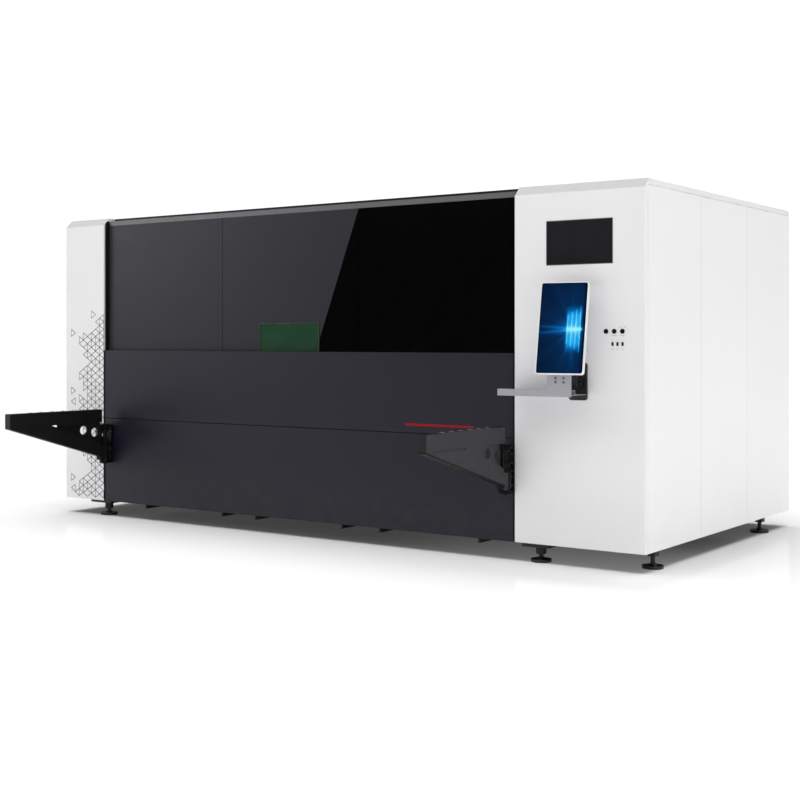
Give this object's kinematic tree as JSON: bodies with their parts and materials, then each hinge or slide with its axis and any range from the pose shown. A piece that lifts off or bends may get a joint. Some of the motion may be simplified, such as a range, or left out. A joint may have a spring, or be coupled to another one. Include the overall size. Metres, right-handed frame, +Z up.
{
  "type": "fiber laser cutting machine",
  "caption": "Enclosed flat-bed laser sheet cutter with lifting front door, safety window, folding loading arms, tilting operator screen and levelling feet.",
  "frame": {"origin": "middle of the bounding box on the floor", "axes": "+X to the right along the length as the operator sees it, -Y to the operator side where the door and arms are, +Z up"},
  "size_m": [4.5, 3.125, 2.084],
  "materials": {
    "white_cover": "satin powder coat",
    "lattice_cover": "satin powder coat with printed triangle pattern",
    "dark_panel": "satin powder coat",
    "leaf_panel": "satin powder coat",
    "leaf_trim": "satin powder coat",
    "leaf_frame": "satin powder coat",
    "fascia_matte": "satin",
    "fascia_split": "half satin, half gloss",
    "fascia_gloss": "high gloss",
    "laser_glass": "tinted safety glass",
    "gasket": "matte",
    "guide_black": "matte",
    "frame_paint": "satin",
    "foot_black": "satin",
    "stem_black": "blackened steel",
    "inner_wall": "satin",
    "table_paint": "satin",
    "slat_steel": "raw sheet steel",
    "rail_steel": "ground steel",
    "exhaust_zinc": "zinc-plated",
    "drawer_zinc": "galvanised",
    "source_case": "satin",
    "gantry_alu": "anodised",
    "truck_paint": "satin",
    "motor_black": "satin",
    "carriage_alu": "anodised",
    "head_case": "anodised",
    "nozzle_metal": "turned",
    "arm_black": "satin",
    "bracket_black": "satin",
    "pin_steel": "turned",
    "ball_steel": "polished",
    "screw_steel": "blackened",
    "plate_black": "matte",
    "tray_metal": "satin",
    "monitor_shell": "satin",
    "monitor_screen": "glossy touch glass",
    "display_glass": "gloss",
    "bezel_metal": "satin",
    "button_black": "satin",
    "selector_black": "satin",
    "rocker_black": "satin"
  },
  "bodies": {
    "machine": {"left_side_cover_front": "white_cover", "left_side_cover_rear": "white_cover", "right_front_cover": "white_cover", "right_side_cover_front": "white_cover", "right_side_cover_mid": "white_cover", "right_side_cover_rear": "white_cover", "left_roof_cap": "white_cover", "right_roof_cap": "white_cover", "left_front_cover": "lattice_cover", "lower_front_cover": "dark_panel", "roof_panel": "dark_panel", "rear_cover": "dark_panel", "door_guides": "guide_black", "base_frame": "frame_paint", "foot_pads": "foot_black", "foot_stems": "stem_black", "right_inner_wall": "inner_wall", "table_frame": "table_paint", "table_slats": "slat_steel", "x_rails": "rail_steel", "exhaust_flange": "exhaust_zinc", "laser_source": "source_case", "arm_brackets": "bracket_black", "arm_pins": "pin_steel", "cap_screws": "screw_steel", "terminal_wall_plate": "plate_black", "terminal_tray": "tray_metal", "status_display": "display_glass", "control_bezels": "bezel_metal"},
    "rear_door_left_leaf": {"left_rear_door": "white_cover"},
    "rear_door_right_leaf": {"right_rear_door": "white_cover"},
    "lower_leaf": {"lower_door": "leaf_panel"},
    "upper_leaf": {"upper_door_frame": "leaf_frame", "upper_door_cap": "leaf_trim", "fascia_left": "fascia_matte", "fascia_mid": "fascia_split", "fascia_right": "fascia_gloss", "window_glass": "laser_glass", "window_gasket": "gasket"},
    "gantry": {"gantry_beam": "gantry_alu", "gantry_carriages": "truck_paint", "gantry_motors": "motor_black", "y_rails": "rail_steel"},
    "cross_carriage": {"y_carriage": "carriage_alu"},
    "head": {"cutting_head": "head_case", "nozzle": "nozzle_metal"},
    "drawer_left": {"slag_drawer_left": "drawer_zinc"},
    "drawer_right": {"slag_drawer_right": "drawer_zinc"},
    "loading_arm_left": {"arm_left": "arm_black", "ball_units_left": "ball_steel"},
    "loading_arm_right": {"arm_right": "arm_black", "ball_units_right": "ball_steel"},
    "monitor": {"monitor_housing": "monitor_shell", "monitor_glass": "monitor_screen"},
    "button_left": {"push_button_left": "button_black"},
    "button_mid": {"push_button_mid": "button_black"},
    "selector": {"selector_knob": "selector_black"},
    "switch_left": {"rocker_left": "rocker_black"},
    "switch_mid": {"rocker_mid": "rocker_black"},
    "switch_right": {"rocker_right": "rocker_black"}
  },
  "joints": [
    {"name": "rear_door_left_hinge", "type": "hinge", "parent": "machine", "child": "rear_door_left_leaf", "pos_m": [-2.247, 1.5625, 0], "axis": [0, 0, 1], "range_deg": [0, 110]},
    {"name": "rear_door_right_hinge", "type": "hinge", "parent": "machine", "child": "rear_door_right_leaf", "pos_m": [2.247, 1.5625, 0], "axis": [0, 0, 1], "range_deg": [-110, 0]},
    {"name": "lower_leaf_lift", "type": "slide", "parent": "machine", "child": "lower_leaf", "axis": [0, 0, 1], "range_m": [0, 0.9]},
    {"name": "upper_leaf_lift", "type": "slide", "parent": "machine", "child": "upper_leaf", "axis": [0, 0, 1], "range_m": [0, 0.45]},
    {"name": "gantry_travel", "type": "slide", "parent": "machine", "child": "gantry", "axis": [1, 0, 0], "range_m": [0, 3.05]},
    {"name": "cross_travel", "type": "slide", "parent": "gantry", "child": "cross_carriage", "axis": [0, 1, 0], "range_m": [0, 1.5]},
    {"name": "head_lift", "type": "slide", "parent": "cross_carriage", "child": "head", "axis": [0, 0, 1], "range_m": [0, 0.1]},
    {"name": "drawer_left_slide", "type": "slide", "parent": "machine", "child": "drawer_left", "axis": [0, 1, 0], "range_m": [0, 1.2]},
    {"name": "drawer_right_slide", "type": "slide", "parent": "machine", "child": "drawer_right", "axis": [0, 1, 0], "range_m": [0, 1.2]},
    {"name": "loading_arm_left_fold", "type": "hinge", "parent": "machine", "child": "loading_arm_left", "pos_m": [-1.793, -0.7375, 0], "axis": [0, 0, 1], "range_deg": [0, 90]},
    {"name": "loading_arm_right_fold", "type": "hinge", "parent": "machine", "child": "loading_arm_right", "pos_m": [1.431, -0.7375, 0], "axis": [0, 0, 1], "range_deg": [-90, 0]},
    {"name": "monitor_tilt", "type": "hinge", "parent": "machine", "child": "monitor", "pos_m": [1.8503, -0.8495, 1.11], "axis": [-0.9848, -0.1736, 0], "range_deg": [-3, 10]},
    {"name": "button_left_press", "type": "slide", "parent": "machine", "child": "button_left", "axis": [0, 1, 0], "range_m": [0, 0.003], "stiffness_N_per_m": 600, "springref_m": -0.001},
    {"name": "button_mid_press", "type": "slide", "parent": "machine", "child": "button_mid", "axis": [0, 1, 0], "range_m": [0, 0.003], "stiffness_N_per_m": 600, "springref_m": -0.001},
    {"name": "selector_turn", "type": "hinge", "parent": "machine", "child": "selector", "pos_m": [2.1184, -0.6875, 1.276], "axis": [0, -1, 0], "range_deg": [-45, 45]},
    {"name": "switch_left_rock", "type": "hinge", "parent": "machine", "child": "switch_left", "pos_m": [2.0609, -0.6875, 1.2086], "axis": [1, 0, 0], "range_deg": [-16, 0]},
    {"name": "switch_mid_rock", "type": "hinge", "parent": "machine", "child": "switch_mid", "pos_m": [2.0894, -0.6875, 1.2086], "axis": [1, 0, 0], "range_deg": [-16, 0]},
    {"name": "switch_right_rock", "type": "hinge", "parent": "machine", "child": "switch_right", "pos_m": [2.1189, -0.6875, 1.2086], "axis": [1, 0, 0], "range_deg": [-16, 0]}
  ],
  "couplings": [
    {"joint": "upper_leaf_lift", "follows": "lower_leaf_lift", "ratio": 0.5}
  ]
}
